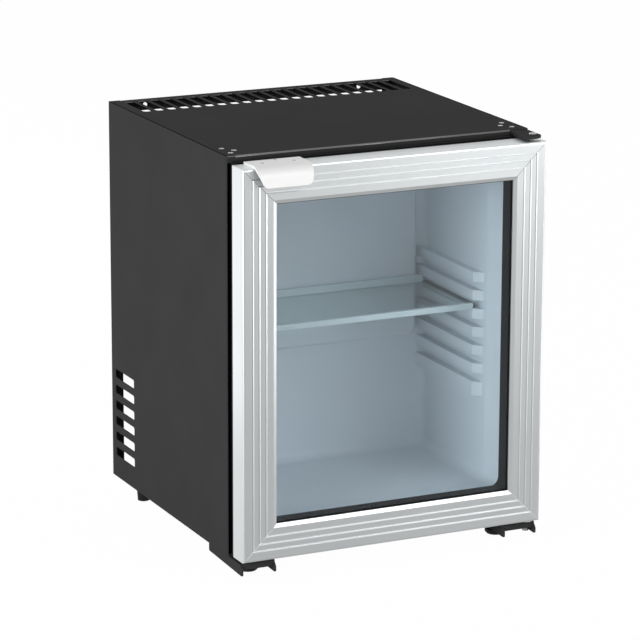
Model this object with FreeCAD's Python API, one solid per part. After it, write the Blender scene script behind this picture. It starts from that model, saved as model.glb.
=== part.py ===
import FreeCAD, Part
import math
import os
from FreeCAD import Vector

# A hotel minibar fridge with a glazed, framed door. Lengths are in millimetres.
# It is laid out from the middle of the cabinet's lower front edge: +X to the right,
# +Y to the back, +Z up. The export then moves it so that the origin lies on the floor
# under the middle of its outline.

# Cabinet
CABINET_WIDTH = 400.0
CABINET_DEPTH = 368.0
CABINET_HEIGHT = 489.0
FLOOR_CLEARANCE = 24.0
SHEET = 1.0
BEND_RADIUS = 2.5
SIDE_FLANGE = 12.0
TOP_FLANGE = 12.0
TOP_REAR_FLANGE = 14.0
REAR_FLANGE = 16.0
BASE_FLANGE = 12.0
FIXING_HOLE_RADIUS = 3.0
FIXING_HOLE_SPACING = 300.0

# Vent slots: a row across the top and the base, and a column in each side
VENT_WIDTH = 8.5
VENT_LENGTH = 63.0
VENT_PITCH = 17.4
VENT_REAR_MARGIN = 18.0
VENT_SIDE_MARGIN = 13.0
BASE_VENT_SIDE_MARGIN = 120.0
SIDE_VENT_HEIGHT = 11.3
SIDE_VENT_LENGTH = 62.0
SIDE_VENT_PITCH = 20.8
SIDE_VENT_COUNT = 6
SIDE_VENT_FIRST = 34.4
SIDE_VENT_REAR_MARGIN = 14.0

# Insulated compartment
OPENING_SIDE = 35.0
OPENING_BOTTOM = 42.0
OPENING_TOP = 42.0
LINER_FLARE = 5.0
LINER_FLARE_DEPTH = 30.0
LINER_WALL = 2.0
LINER_CORNER = 12.0
REAR_INSULATION = 45.0
BAY_DEPTH = 122.0
COLLAR_INSET = 6.0
COLLAR_PROUD = 5.0
RIB_COUNT = 7
RIB_FIRST = 159.5
RIB_PITCH = 23.3
RIB_HEIGHT = 12.5
RIB_LOWEST_HEIGHT = 18.0
RIB_DEPTH = 10.0
RIB_START = 36.0

# Shelf
SHELF_RIB = 5
SHELF_GLASS = 4.0
SHELF_LIP = 3.7
SHELF_TRIM = 6.0
SHELF_REAR_LIP = 9.0
SHELF_SIDE_GAP = 3.0
SHELF_TRIM_GAP = 1.0
SHELF_REAR_GAP = 2.0

# Door: a mitred frame round a double glazed unit
DOOR_GAP = 15.0
DOOR_TOP_MARGIN = 7.0
DOOR_BOTTOM_MARGIN = 4.3
FRAME_WIDTH = 44.0
FRAME_FLAT = 39.5
FRAME_WALL = 2.5
FRAME_ROUNDING = 3.0
GLASS_SETBACK = 3.5
GLASS_THICKNESS = 4.0
GLASS_COVER = 12.0
GLASS_EDGE_GAP = 1.0
SPACER_DEPTH = 18.0
SPACER_WIDTH = 10.5
SPACER_SEALANT = 2.0
LIP_EDGE = 1.5
GROOVES = (13.0, 21.3, 30.0)
GROOVE_WIDTH = 2.4
GROOVE_DEPTH = 1.2
BACK_FRAME = 2.5
BACK_FRAME_WIDTH = 42.0
KEY_ARM = 45.0
KEY_GAP = 0.3
GASKET_MIDDLE = 21.0
GASKET_FOOT = 16.0
GASKET_WAIST = 10.0
GASKET_HEAD = 18.0
GASKET_FOOT_DEPTH = 1.8
GASKET_HEAD_DEPTH = 4.0
GASKET_SLOPE = 1.0
GASKET_GAP = 0.3

# Hinges and front brackets
HINGE_FROM_SIDE = 9.0
HINGE_FROM_REAR = 12.6
PIN_RADIUS = 4.0
PIN_REACH = 14.0
PIN_HEAD_RADIUS = 4.8
PIN_TAIL = 10.5
FIT_GAP = 0.05
BUSH_WALL = 1.5
BUSH_FLANGE_RADIUS = 8.5
BUSH_GAP = 0.3
BUSH_LENGTH = 16.0
HINGE_PLATE = 3.0
HINGE_PLATE_WIDTH = 22.0
HINGE_PLATE_REACH = 55.0
CORNER_PLATE_WIDTH = 31.0
HINGE_TIP = 14.5
HINGE_TIP_ROUNDING = 9.0
HINGE_SIDE_GAP = 1.0
HINGE_LIP = 2.0
HINGE_LIP_GAP = 0.6
BRACKET_SHEET = 2.0
BRACKET_WIDTH = 45.0
BRACKET_REAR = 58.0
BRACKET_PLATE_TIP = 8.0
BRACKET_FLANGE_TIP = 12.5
BRACKET_FLANGE_REAR = 10.4
BRACKET_FLANGE_FRONT = 14.0
BRACKET_LIP = 7.5

# Handle
HANDLE_LEFT = 15.0
HANDLE_LENGTH = 71.0
HANDLE_SHEET = 3.0
HANDLE_STANDOFF = 10.0
HANDLE_DROP = 22.0
HANDLE_BEND = 16.0
HANDLE_INNER_BEND = 12.0
HANDLE_REAR_INSET = 1.5
HANDLE_SHOULDER = 4.0
HANDLE_SHOULDER_ROUNDING = 12.0
HANDLE_LEFT_TAPER = 9.0
HANDLE_RIGHT_TAPER = 2.0
HANDLE_CORNER = 8.0

# Feet
REAR_FOOT_TOP_RADIUS = 9.5
REAR_FOOT_RADIUS = 7.5
REAR_FOOT_FROM_BACK = 51.0
REAR_FOOT_GAP = 0.5
FRONT_FOOT_RADIUS = 13.0
FRONT_FOOT_HEIGHT = 9.0
FRONT_FOOT_EDGE = 2.5
FRONT_FOOT_INSET = 31.0
FRONT_FOOT_BACK = 10.0
STUD_RADIUS = 4.0
NUT_FLATS = 13.0
NUT_HEIGHT = 6.5

# Cooling unit in the rear bay
EVAPORATOR_SIDE = 16.0
EVAPORATOR_TOP = 12.0
EVAPORATOR_FOOT = 193.0
EVAPORATOR_PROUD = 12.0
EVAPORATOR_WALL = 2.0
EVAPORATOR_CORNER = 10.0
COLD_PLATE = 3.0
COLD_PLATE_MARGIN = 4.0
COLD_PLATE_HEIGHT = 130.0
COLD_FIN = 1.5
COLD_FIN_DEPTH = 6.0
COLD_FIN_COUNT = 15
UNIT_FROM_BACK = 56.0
UNIT_TUBE = 8.0
UNIT_BEND = 22.0
CONDENSER_DROP = 54.0
CONDENSER_LEFT = 70.0
CONDENSER_FALL = 70.0
FIN_WIDTH = 56.0
FIN_HEIGHT = 44.0
FIN_SHEET = 0.8
FIN_PITCH = 13.0
FIN_END_GAP = 34.0
BOILER_FROM_RIGHT = 104.0
BOILER_RADIUS = 30.0
BOILER_SHEET = 1.0
BOILER_BOTTOM = 100.0
BOILER_FROM_TOP = 159.0
BOILER_TUBE = 10.0
BOILER_TUBE_END = 16.0
HEATER_RADIUS = 6.0
HEATER_GAP = 2.0
HEATER_LENGTH = 120.0
HEATER_TAIL = 5.0
LEAD_RADIUS = 2.5
LEAD_BEND = 15.0
LEAD_HEIGHT = 40.0
CLAMP_SHEET = 3.0
CLAMP_WIDTH = 40.0
CLAMP_END = 40.0
VESSEL_RADIUS = 24.0
VESSEL_HEIGHT = 54.0
VESSEL_LEFT = 34.0
VESSEL_DOME = 10.0
SADDLE_SHEET = 3.0
SADDLE_WIDTH = 52.0
SADDLE_INSET = 40.0
COIL_RUNS = 3
COIL_PITCH = 40.0
COIL_LEFT = 35.0
COIL_CLEARANCE = 9.0
COIL_TO_BOILER = 27.0
VESSEL_TO_BOILER = 36.0
COIL_OUTLET = 25.0
COIL_INLET_MARGIN = 17.0
DRAIN_RADIUS = 5.0
DRAIN_WALL = 1.0
DRAIN_X = -60.0
DRAIN_RISE = 10.0
DRAIN_REACH = 18.0
DRAIN_BEND = 10.0
DRAIN_DROP = 30.0
TRAY_WIDTH = 100.0
TRAY_DEPTH = 34.0
TRAY_HEIGHT = 14.0
TRAY_WALL = 1.5
TRAY_GAP = 3.0
CONTROL_WIDTH = 50.0
CONTROL_DEPTH = 90.0
CONTROL_HEIGHT = 60.0
CONTROL_WALL = 2.0
CONTROL_SIDE_GAP = 8.0
CONTROL_FROM_BACK = 22.0
INLET_WIDTH = 27.0
INLET_HEIGHT = 20.0
INLET_DEPTH = 18.0
INLET_RIM = 3.0
INLET_WALL = 2.0
INLET_BLADE = 2.0
INLET_BLADE_PITCH = 7.0

# Planes that several pieces share
HALF = CABINET_WIDTH / 2
INSIDE = HALF - SHEET
ROOF = CABINET_HEIGHT - SHEET
FLOOR = 2 * SHEET
FLANGE_END = HALF - SIDE_FLANGE
OPENING_HALF = HALF - OPENING_SIDE
OPENING_ROOF = CABINET_HEIGHT - OPENING_TOP
LINER_HALF = OPENING_HALF - LINER_FLARE
LINER_ROOF = OPENING_ROOF - LINER_FLARE
BAY = CABINET_DEPTH - BAY_DEPTH
BULKHEAD = BAY - SHEET
LINER_DEPTH = BULKHEAD - REAR_INSULATION
UNIT_Y = CABINET_DEPTH - UNIT_FROM_BACK
BAR_DEPTH = GLASS_SETBACK + 2 * GLASS_THICKNESS + SPACER_DEPTH
DOOR_THICKNESS = BAR_DEPTH + BACK_FRAME
DOOR_REAR = -DOOR_GAP
DOOR_FRONT = DOOR_REAR - DOOR_THICKNESS
DOOR_TOP = CABINET_HEIGHT - DOOR_TOP_MARGIN
DOOR_BOTTOM = DOOR_BOTTOM_MARGIN
DOOR_HEIGHT = DOOR_TOP - DOOR_BOTTOM
REBATE = FRAME_WIDTH - GLASS_COVER
GLASS_EDGE = REBATE + GLASS_EDGE_GAP
HINGE_X = HALF - HINGE_FROM_SIDE
HINGE_Y = DOOR_REAR - HINGE_FROM_REAR
HINGE_OUTER = HALF - SHEET - HINGE_SIDE_GAP
HINGE_INNER = HINGE_OUTER - HINGE_PLATE_WIDTH
HINGE_UNDER = ROOF - HINGE_PLATE
CORNER_INNER = HINGE_OUTER - CORNER_PLATE_WIDTH
BUSH_BORE = PIN_RADIUS + FIT_GAP
BUSH_RADIUS = BUSH_BORE + BUSH_WALL
BOILER_X = HALF - BOILER_FROM_RIGHT
BOILER_TOP = CABINET_HEIGHT - BOILER_FROM_TOP
COIL_END = BOILER_X - BOILER_RADIUS - COIL_TO_BOILER - UNIT_TUBE
VESSEL_START = -HALF + VESSEL_LEFT
VESSEL_END = BOILER_X - BOILER_RADIUS - VESSEL_TO_BOILER
VESSEL_LENGTH = VESSEL_END - VESSEL_START
HEATER_X = BOILER_X + BOILER_TUBE + HEATER_GAP + HEATER_RADIUS
SHELF_BOTTOM = RIB_FIRST + (SHELF_RIB - 1) * RIB_PITCH + RIB_HEIGHT / 2
SHELF_FRONT = RIB_START + RIB_DEPTH - SHELF_TRIM / 2
EVAPORATOR_FRONT = LINER_DEPTH - EVAPORATOR_PROUD
COLD_PLATE_WIDTH = 2 * (LINER_HALF - EVAPORATOR_SIDE - EVAPORATOR_WALL - COLD_PLATE_MARGIN)
COLD_PLATE_ROOF = LINER_ROOF - EVAPORATOR_TOP - EVAPORATOR_WALL - EVAPORATOR_CORNER
COLD_PLATE_FOOT = COLD_PLATE_ROOF - COLD_PLATE_HEIGHT
SHELF_REAR = EVAPORATOR_FRONT - SHELF_REAR_GAP
FRONT_REACH = -DOOR_FRONT + HANDLE_STANDOFF + HANDLE_SHEET
TO_ORIGIN = Vector(0, (FRONT_REACH - CABINET_DEPTH) / 2, FLOOR_CLEARANCE)


def block(x0, x1, y0, y1, z0, z1):
    """Box between two corners."""
    return Part.makeBox(x1 - x0, y1 - y0, z1 - z0, Vector(x0, y0, z0))


def rod(radius, start, end):
    """Round bar from one point to another."""
    axis = end - start
    return Part.makeCylinder(radius, axis.Length, start, axis)


def outline(corners, place):
    """Closed wire of straight sides with rounded corners, each given as (a, b, radius)."""
    count = len(corners)
    before, middle, after = [], [], []
    for i, (a, b, radius) in enumerate(corners):
        here = Vector(a, b, 0)
        back = (Vector(*corners[i - 1][:2], 0) - here).normalize()
        ahead = (Vector(*corners[(i + 1) % count][:2], 0) - here).normalize()
        half_turn = back.getAngle(ahead) / 2
        reach = radius / math.tan(half_turn)
        inward = (back + ahead).normalize() if radius else back
        before.append(here + back * reach)
        middle.append(here + inward * (radius / math.sin(half_turn) - radius))
        after.append(here + ahead * reach)
    edges = []
    for i in range(count):
        if corners[i][2]:
            arc = Part.Arc(place(before[i]), place(middle[i]), place(after[i]))
            edges.append(arc.toShape())
        start, end = after[i], before[(i + 1) % count]
        if (end - start).Length > Part.Precision.confusion():
            edges.append(Part.LineSegment(place(start), place(end)).toShape())
    return Part.Wire(edges)


def slab(corners, place, sweep):
    """Flat outline drawn out along a vector."""
    return Part.Face(outline(corners, place)).extrude(sweep)


def flat(z):
    """Places an outline on a level plane."""
    return lambda p: Vector(p.x, p.y, z)


def upright(y):
    """Places an outline on a plane that faces the front."""
    return lambda p: Vector(p.x, y, p.y)


def sideways(x):
    """Places an outline on a plane that faces the side."""
    return lambda p: Vector(x, p.x, p.y)


def rectangle(a0, a1, b0, b1, radius):
    """Corners of a rectangle with one rounding."""
    return [(a0, b0, radius), (a1, b0, radius), (a1, b1, radius), (a0, b1, radius)]


def tube(points, radius, bend):
    """Round bar along straight runs joined by tangent bends."""
    pieces = []
    start = points[0]
    for previous, corner, following in zip(points, points[1:], points[2:]):
        back = (previous - corner).normalize()
        ahead = (following - corner).normalize()
        half_turn = back.getAngle(ahead) / 2
        reach = bend / math.tan(half_turn)
        centre = corner + (back + ahead).normalize() * (bend / math.sin(half_turn))
        entry = corner + back * reach
        if (entry - start).Length > Part.Precision.confusion():
            pieces.append(rod(radius, start, entry))
        disc = Part.Face(Part.Wire(Part.makeCircle(radius, entry, back)))
        turn = 180 - math.degrees(2 * half_turn)
        pieces.append(disc.revolve(centre, ahead.cross(back), turn))
        start = corner + ahead * reach
    pieces.append(rod(radius, start, points[-1]))
    return fused(pieces)


def mirrored(shape):
    """The same piece for the other side of the cabinet."""
    return shape.mirror(Vector(0, 0, 0), Vector(1, 0, 0))


def fused(shapes):
    """One solid from several that touch."""
    return shapes[0].fuse(shapes[1:]).removeSplitter()


def mitred_bars(profile, width, height):
    """Bottom, top, left and right bars of a frame with corners cut at 45 degrees.

    The profile is a face in the plane x = 0, with z as the distance from the outer edge.
    The frame stands with its lower edge at z = 0 and its middle at x = 0.
    """
    depth = profile.BoundBox.ZMax
    thickness = profile.BoundBox.YMax

    def bar(length):
        body = profile.copy()
        body.translate(Vector(-length / 2, 0, 0))
        body = body.extrude(Vector(length, 0, 0))
        corner = [(-length / 2, 0, 0), (-length / 2 + depth, depth, 0), (-length / 2, depth, 0)]
        end = slab(corner, upright(0), Vector(0, thickness, 0))
        return body.cut([end, mirrored(end)])

    axis = Vector(0, 1, 0)
    centre = Vector(0, 0, 0)
    bottom = bar(width)
    top = bar(width)
    top.rotate(centre, axis, 180)
    top.translate(Vector(0, 0, height))
    left = bar(height)
    left.rotate(centre, axis, 90)
    left.translate(Vector(-width / 2, 0, height / 2))
    right = bar(height)
    right.rotate(centre, axis, -90)
    right.translate(Vector(width / 2, 0, height / 2))
    return bottom, top, left, right


def ring(x, z0, z1, inner_x, inner_z0, inner_z1, y0, y1, radius, inner_radius):
    """Upright frame between two rounded rectangles, both centred on x = 0."""
    sweep = Vector(0, y1 - y0, 0)
    outer = slab(rectangle(-x, x, z0, z1, radius), upright(y0), sweep)
    hole = slab(rectangle(-inner_x, inner_x, inner_z0, inner_z1, inner_radius), upright(y0), sweep)
    return outer.cut(hole)


def vent_row(side_margin, z):
    """Row of round-ended slots across the rear bay, cut through one sheet."""
    span = CABINET_WIDTH - 2 * side_margin - VENT_WIDTH
    gaps = int(span / VENT_PITCH)
    rear = CABINET_DEPTH - VENT_REAR_MARGIN
    slots = []
    for i in range(gaps + 1):
        x = (i - gaps / 2) * VENT_PITCH
        shape = rectangle(
            x - VENT_WIDTH / 2, x + VENT_WIDTH / 2, rear - VENT_LENGTH, rear, VENT_WIDTH / 2
        )
        slots.append(slab(shape, flat(z), Vector(0, 0, SHEET)))
    return slots


def side_panel():
    """Right side sheet, folded in at the front, rear and foot."""
    inner_bend = BEND_RADIUS - SHEET
    section = [
        (FLANGE_END, 0, 0),
        (HALF, 0, BEND_RADIUS),
        (HALF, CABINET_DEPTH, BEND_RADIUS),
        (HALF - REAR_FLANGE, CABINET_DEPTH, 0),
        (HALF - REAR_FLANGE, CABINET_DEPTH - SHEET, 0),
        (INSIDE, CABINET_DEPTH - SHEET, inner_bend),
        (INSIDE, SHEET, inner_bend),
        (FLANGE_END, SHEET, 0),
    ]
    wall = slab(section, flat(0), Vector(0, 0, CABINET_HEIGHT))
    foot = block(FLANGE_END, INSIDE, SHEET, CABINET_DEPTH - SHEET, 0, SHEET)
    under_top = block(FLANGE_END - REAR_FLANGE, INSIDE, 0, CABINET_DEPTH, ROOF, CABINET_HEIGHT)
    rear = CABINET_DEPTH - SIDE_VENT_REAR_MARGIN
    slots = []
    for i in range(SIDE_VENT_COUNT):
        z = SIDE_VENT_FIRST + i * SIDE_VENT_PITCH
        shape = rectangle(
            rear - SIDE_VENT_LENGTH, rear,
            z - SIDE_VENT_HEIGHT / 2, z + SIDE_VENT_HEIGHT / 2, SIDE_VENT_HEIGHT / 4,
        )
        slots.append(slab(shape, sideways(INSIDE), Vector(SHEET, 0, 0)))
    return fused([wall, foot]).cut([under_top] + slots)


def top_fold(edge, inward, drop, end):
    """Edge of the top sheet turned down; inward is 1 at the front and -1 at the rear."""
    inner = edge + inward * SHEET
    bend_end = edge + inward * BEND_RADIUS
    section = [
        (edge, ROOF - drop, 0),
        (edge, CABINET_HEIGHT, BEND_RADIUS),
        (bend_end, CABINET_HEIGHT, 0),
        (bend_end, ROOF, 0),
        (inner, ROOF, BEND_RADIUS - SHEET),
        (inner, ROOF - drop, 0),
    ]
    return slab(section, sideways(-end), Vector(2 * end, 0, 0))


def top_panel():
    """Top sheet, folded down at the front, rear and sides."""
    front_fold = top_fold(0, 1, TOP_FLANGE, FLANGE_END)
    rear_end = HALF - REAR_FLANGE
    rear_fold = top_fold(CABINET_DEPTH, -1, TOP_REAR_FLANGE, rear_end)
    rear = CABINET_DEPTH - BEND_RADIUS
    sheet = block(-INSIDE, INSIDE, BEND_RADIUS, rear, ROOF, CABINET_HEIGHT)
    front_ear = block(FLANGE_END, INSIDE, 0, BEND_RADIUS, ROOF, CABINET_HEIGHT)
    rear_ear = block(rear_end, INSIDE, rear, CABINET_DEPTH, ROOF, CABINET_HEIGHT)
    lap = block(
        INSIDE - SHEET, INSIDE, HINGE_PLATE_REACH + SHEET, CABINET_DEPTH - REAR_FLANGE,
        ROOF - TOP_FLANGE, ROOF,
    )
    panel = [front_fold, rear_fold, sheet]
    for piece in (front_ear, rear_ear, lap):
        panel += [piece, mirrored(piece)]
    hole_z = ROOF - TOP_REAR_FLANGE / 2
    centre = Vector(FIXING_HOLE_SPACING / 2, CABINET_DEPTH, hole_z)
    hole = rod(FIXING_HOLE_RADIUS, centre, centre - Vector(0, SHEET, 0))
    return fused(panel).cut(vent_row(VENT_SIDE_MARGIN, ROOF) + [hole, mirrored(hole)])


def base_plate():
    """Floor sheet that lies on the side panels' feet, folded up at the front."""
    sheet = block(-INSIDE, INSIDE, SHEET, CABINET_DEPTH - SHEET, SHEET, FLOOR)
    fold = block(-FLANGE_END, FLANGE_END, 0, SHEET, SHEET, SHEET + BASE_FLANGE)
    return fused([sheet, fold]).cut(vent_row(BASE_VENT_SIDE_MARGIN, SHEET))


def compartment(grow, corner):
    """Space of the liner, grown outwards by a wall: a flared mouth, then a plain box."""
    foot = OPENING_BOTTOM - grow
    mouth = rectangle(-OPENING_HALF - grow, OPENING_HALF + grow, foot, OPENING_ROOF + grow, corner)
    throat = rectangle(-LINER_HALF - grow, LINER_HALF + grow, foot, LINER_ROOF + grow, corner)
    flare = Part.makeLoft(
        [outline(mouth, upright(0)), outline(throat, upright(LINER_FLARE_DEPTH))], True, True
    )
    depth = LINER_DEPTH + grow - LINER_FLARE_DEPTH
    return flare, slab(throat, upright(LINER_FLARE_DEPTH), Vector(0, depth, 0))


def liner_inside():
    """Hollow of the liner, with rounded edges."""
    flare, body = compartment(0, LINER_CORNER)
    rim = [e for e in body.Edges if e.BoundBox.YMin > LINER_DEPTH - SHEET]
    return fused([flare, body.makeFillet(LINER_CORNER, rim)])


def shelf_rib(bottom, top):
    """Rib on the right wall of the liner, with its front end cut at 45 degrees."""
    face = LINER_HALF - RIB_DEPTH
    root = LINER_HALF + LINER_WALL / 2
    plan = [
        (root, RIB_START - LINER_WALL / 2, 0),
        (root, LINER_DEPTH, 0),
        (face, LINER_DEPTH, 0),
        (face, RIB_START + RIB_DEPTH, 0),
    ]
    return slab(plan, flat(bottom), Vector(0, 0, top - bottom))


def liner_outside():
    """Outside of the liner with its front flange, without ribs or hollow."""
    x = FLANGE_END - SHEET
    foot = FLOOR + BASE_FLANGE
    flange = block(-x, x, 0, LINER_WALL, foot, ROOF - TOP_FLANGE - SHEET)
    return fused([*compartment(LINER_WALL, 0), flange])


def inner_liner(passages):
    """Formed liner: walls, front flange and shelf ribs."""
    shell = liner_outside().cut(liner_inside())
    ribs = []
    for i in range(RIB_COUNT):
        top = RIB_FIRST + i * RIB_PITCH + RIB_HEIGHT / 2
        rib = shelf_rib(top - (RIB_HEIGHT if i else RIB_LOWEST_HEIGHT), top)
        ribs += [rib, mirrored(rib)]
    return fused([shell] + ribs).cut(passages)


def insulation_foam(pieces):
    """Foam block that fills the cabinet round the liner."""
    solid = block(-INSIDE, INSIDE, SHEET, BULKHEAD, FLOOR, ROOF)
    return solid.cut([liner_outside()] + pieces)


def rear_bulkhead(passages):
    """Sheet behind the foam, with holes for the tubes."""
    width = INSIDE - SHEET
    return block(-width, width, BULKHEAD, BAY, FLOOR, ROOF).cut(passages)


def face_frame():
    """Black collar round the opening that the seal closes on."""
    outer = HALF - COLLAR_INSET
    collar = ring(
        outer, COLLAR_INSET, CABINET_HEIGHT - COLLAR_INSET,
        OPENING_HALF, OPENING_BOTTOM, OPENING_ROOF,
        -COLLAR_PROUD, 0, COLLAR_INSET, LINER_CORNER,
    )
    front = [e for e in collar.Edges if e.BoundBox.YMax < -COLLAR_PROUD / 2]
    return collar.makeChamfer(COLLAR_PROUD / 4, front)


def corner_plate():
    """Plate that the top is screwed to, in the right front corner."""
    return block(CORNER_INNER, HINGE_OUTER, BEND_RADIUS, HINGE_PLATE_REACH, HINGE_UNDER, ROOF)


def top_hinge_bracket(pin):
    """Corner plate that runs out over the door, with a stiffening lip turned down."""
    tip = HINGE_Y - HINGE_TIP
    plan = [
        (HINGE_INNER, tip, 0),
        (HINGE_OUTER, tip, HINGE_TIP_ROUNDING),
        (HINGE_OUTER, BEND_RADIUS, 0),
        (HINGE_INNER, BEND_RADIUS, 0),
    ]
    tongue = slab(plan, flat(HINGE_UNDER), Vector(0, 0, HINGE_PLATE))
    lip_end = -COLLAR_PROUD - HINGE_SIDE_GAP
    lip = block(
        HINGE_INNER, HINGE_INNER + HINGE_LIP, tip, lip_end, DOOR_TOP + HINGE_LIP_GAP, HINGE_UNDER
    )
    return fused([corner_plate(), tongue, lip]).cut(pin)


def top_hinge_pin():
    """Riveted pin that hangs from the upper hinge plate into the door."""
    end = Vector(HINGE_X, HINGE_Y, DOOR_TOP - PIN_REACH)
    shaft = rod(PIN_RADIUS, end, Vector(HINGE_X, HINGE_Y, ROOF))
    head_top = Vector(HINGE_X, HINGE_Y, CABINET_HEIGHT)
    head = rod(PIN_HEAD_RADIUS, Vector(HINGE_X, HINGE_Y, ROOF), head_top)
    rim = [e for e in head.Edges if e.BoundBox.ZMin > ROOF + SHEET / 2]
    return fused([shaft, head.makeChamfer(SHEET / 2, rim)])


def lower_hinge_pin():
    """Pin that stands in the lower bracket and carries the door."""
    foot = Vector(HINGE_X, HINGE_Y, -BRACKET_SHEET - PIN_TAIL)
    return rod(PIN_RADIUS, foot, Vector(HINGE_X, HINGE_Y, DOOR_BOTTOM + PIN_REACH))


def front_bracket():
    """Folded pan under the right front corner, with a weld nut for the foot."""
    outer = HALF - SHEET
    inner = outer - BRACKET_WIDTH
    plate_tip = HINGE_Y - BRACKET_PLATE_TIP
    tip = HINGE_Y - BRACKET_FLANGE_TIP
    plate = block(inner, outer, plate_tip, BRACKET_REAR, -BRACKET_SHEET, 0)
    lip = block(inner, outer, plate_tip, plate_tip + BRACKET_SHEET, -BRACKET_LIP, 0)
    cheek = [
        (BRACKET_REAR, 0, 0),
        (BRACKET_REAR, -BRACKET_FLANGE_REAR, BRACKET_SHEET),
        (tip, -BRACKET_FLANGE_FRONT, BRACKET_SHEET),
        (tip, -BRACKET_FLANGE_FRONT / 2, BRACKET_SHEET),
        (plate_tip, -BRACKET_SHEET, 0),
        (plate_tip, 0, 0),
    ]
    sweep = Vector(BRACKET_SHEET, 0, 0)
    cheeks = [slab(cheek, sideways(x), sweep) for x in (inner, outer - BRACKET_SHEET)]
    x = HALF - FRONT_FOOT_INSET
    corner = NUT_FLATS / 2 / math.cos(math.pi / 6)
    hexagon = [
        (x + corner * math.cos(k * math.pi / 3), FRONT_FOOT_BACK + corner * math.sin(k * math.pi / 3), 0)
        for k in range(6)
    ]
    nut = slab(hexagon, flat(-BRACKET_SHEET - NUT_HEIGHT), Vector(0, 0, NUT_HEIGHT))
    bore = rod(
        STUD_RADIUS + FIT_GAP,
        Vector(x, FRONT_FOOT_BACK, -BRACKET_SHEET - NUT_HEIGHT),
        Vector(x, FRONT_FOOT_BACK, 0),
    )
    return fused([plate, lip, nut] + cheeks).cut(bore)


def front_foot():
    """Levelling foot: a disc on a stud that runs in the bracket's nut."""
    x = HALF - FRONT_FOOT_INSET
    floor = -FLOOR_CLEARANCE
    upper = floor + FRONT_FOOT_HEIGHT
    section = [
        (0, floor, 0),
        (FRONT_FOOT_RADIUS - FRONT_FOOT_EDGE, floor, 0),
        (FRONT_FOOT_RADIUS, floor + FRONT_FOOT_EDGE, 0),
        (FRONT_FOOT_RADIUS, upper - FRONT_FOOT_EDGE, 0),
        (STUD_RADIUS, upper, 0),
        (STUD_RADIUS, -BRACKET_SHEET / 4, 0),
        (0, -BRACKET_SHEET / 4, 0),
    ]
    face = Part.Face(outline(section, upright(0)))
    foot = face.revolve(Vector(0, 0, 0), Vector(0, 0, 1), 360)
    foot.translate(Vector(x, FRONT_FOOT_BACK, 0))
    return foot


def rear_foot():
    """Tapered foot under the base plate."""
    x = FLANGE_END - REAR_FOOT_GAP - REAR_FOOT_TOP_RADIUS
    foot = Vector(x, CABINET_DEPTH - REAR_FOOT_FROM_BACK, -FLOOR_CLEARANCE)
    height = FLOOR_CLEARANCE + SHEET
    return Part.makeCone(REAR_FOOT_RADIUS, REAR_FOOT_TOP_RADIUS, height, foot)


def frame_profile():
    """Section of the door's extrusion: reeded face, bevel to the glass, rebate and chamber."""
    half_groove = GROOVE_WIDTH / 2
    corners = [(BAR_DEPTH, 0, 0), (0, 0, FRAME_ROUNDING)]
    for groove in GROOVES:
        corners += [
            (0, groove - half_groove, 0), (GROOVE_DEPTH, groove, 0), (0, groove + half_groove, 0)
        ]
    corners += [
        (0, FRAME_FLAT, 0),
        (GLASS_SETBACK - LIP_EDGE, FRAME_WIDTH, 0),
        (GLASS_SETBACK, FRAME_WIDTH, 0),
        (GLASS_SETBACK, REBATE, 0),
        (BAR_DEPTH, REBATE, 0),
    ]
    face = Part.Face(outline(corners, sideways(0)))
    chamber = rectangle(
        FRAME_WALL + GROOVE_DEPTH, BAR_DEPTH - FRAME_WALL, FRAME_WALL, REBATE - FRAME_WALL, 0
    )
    return face.cut(Part.Face(outline(chamber, sideways(0))))


def placed_in_door(shape):
    """Moves a piece drawn from the door's lower front edge to its place."""
    shape.translate(Vector(0, DOOR_FRONT, DOOR_BOTTOM))
    return shape


def bush_seat(z0, z1):
    """Bore for a hinge bush in the door."""
    return rod(BUSH_RADIUS, Vector(HINGE_X, HINGE_Y, z0), Vector(HINGE_X, HINGE_Y, z1))


def corner_keys(seats):
    """Keys that join the extrusions, seated on the outer and rear walls of their chambers."""
    u0 = FRAME_WALL
    u1 = REBATE - FRAME_WALL - KEY_GAP
    y0 = DOOR_FRONT + FRAME_WALL + GROOVE_DEPTH + KEY_GAP
    y1 = DOOR_FRONT + BAR_DEPTH - FRAME_WALL
    plan = [
        (u0, u0, 0), (u0 + KEY_ARM, u0, 0), (u0 + KEY_ARM, u1, 0),
        (u1, u1, 0), (u1, u0 + KEY_ARM, 0), (u0, u0 + KEY_ARM, 0),
    ]
    keys = []
    for side in (-1, 1):
        for z, up in ((DOOR_BOTTOM, 1), (DOOR_TOP, -1)):
            corners = [(side * (HALF - a), z + up * b, 0) for a, b, _ in plan]
            keys.append(slab(corners, upright(y0), Vector(0, y1 - y0, 0)).cut(seats))
    return Part.makeCompound(keys)


def pane(front):
    """One sheet of the double glazing."""
    x = HALF - GLASS_EDGE
    return block(
        -x, x, front, front + GLASS_THICKNESS, DOOR_BOTTOM + GLASS_EDGE, DOOR_TOP - GLASS_EDGE
    )


def glass_spacer():
    """Spacer bar between the panes."""
    outer = GLASS_EDGE + SPACER_SEALANT
    inner = outer + SPACER_WIDTH
    front = DOOR_FRONT + GLASS_SETBACK + GLASS_THICKNESS
    return ring(
        HALF - outer, DOOR_BOTTOM + outer, DOOR_TOP - outer,
        HALF - inner, DOOR_BOTTOM + inner, DOOR_TOP - inner,
        front, front + SPACER_DEPTH, 0, 0,
    )


def door_back_frame():
    """Ring that closes the frame behind the glazing."""
    inner = BACK_FRAME_WIDTH
    return ring(
        HALF, DOOR_BOTTOM, DOOR_TOP,
        HALF - inner, DOOR_BOTTOM + inner, DOOR_TOP - inner,
        DOOR_REAR - BACK_FRAME, DOOR_REAR, FRAME_ROUNDING / 2, FRAME_ROUNDING,
    )


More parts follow.
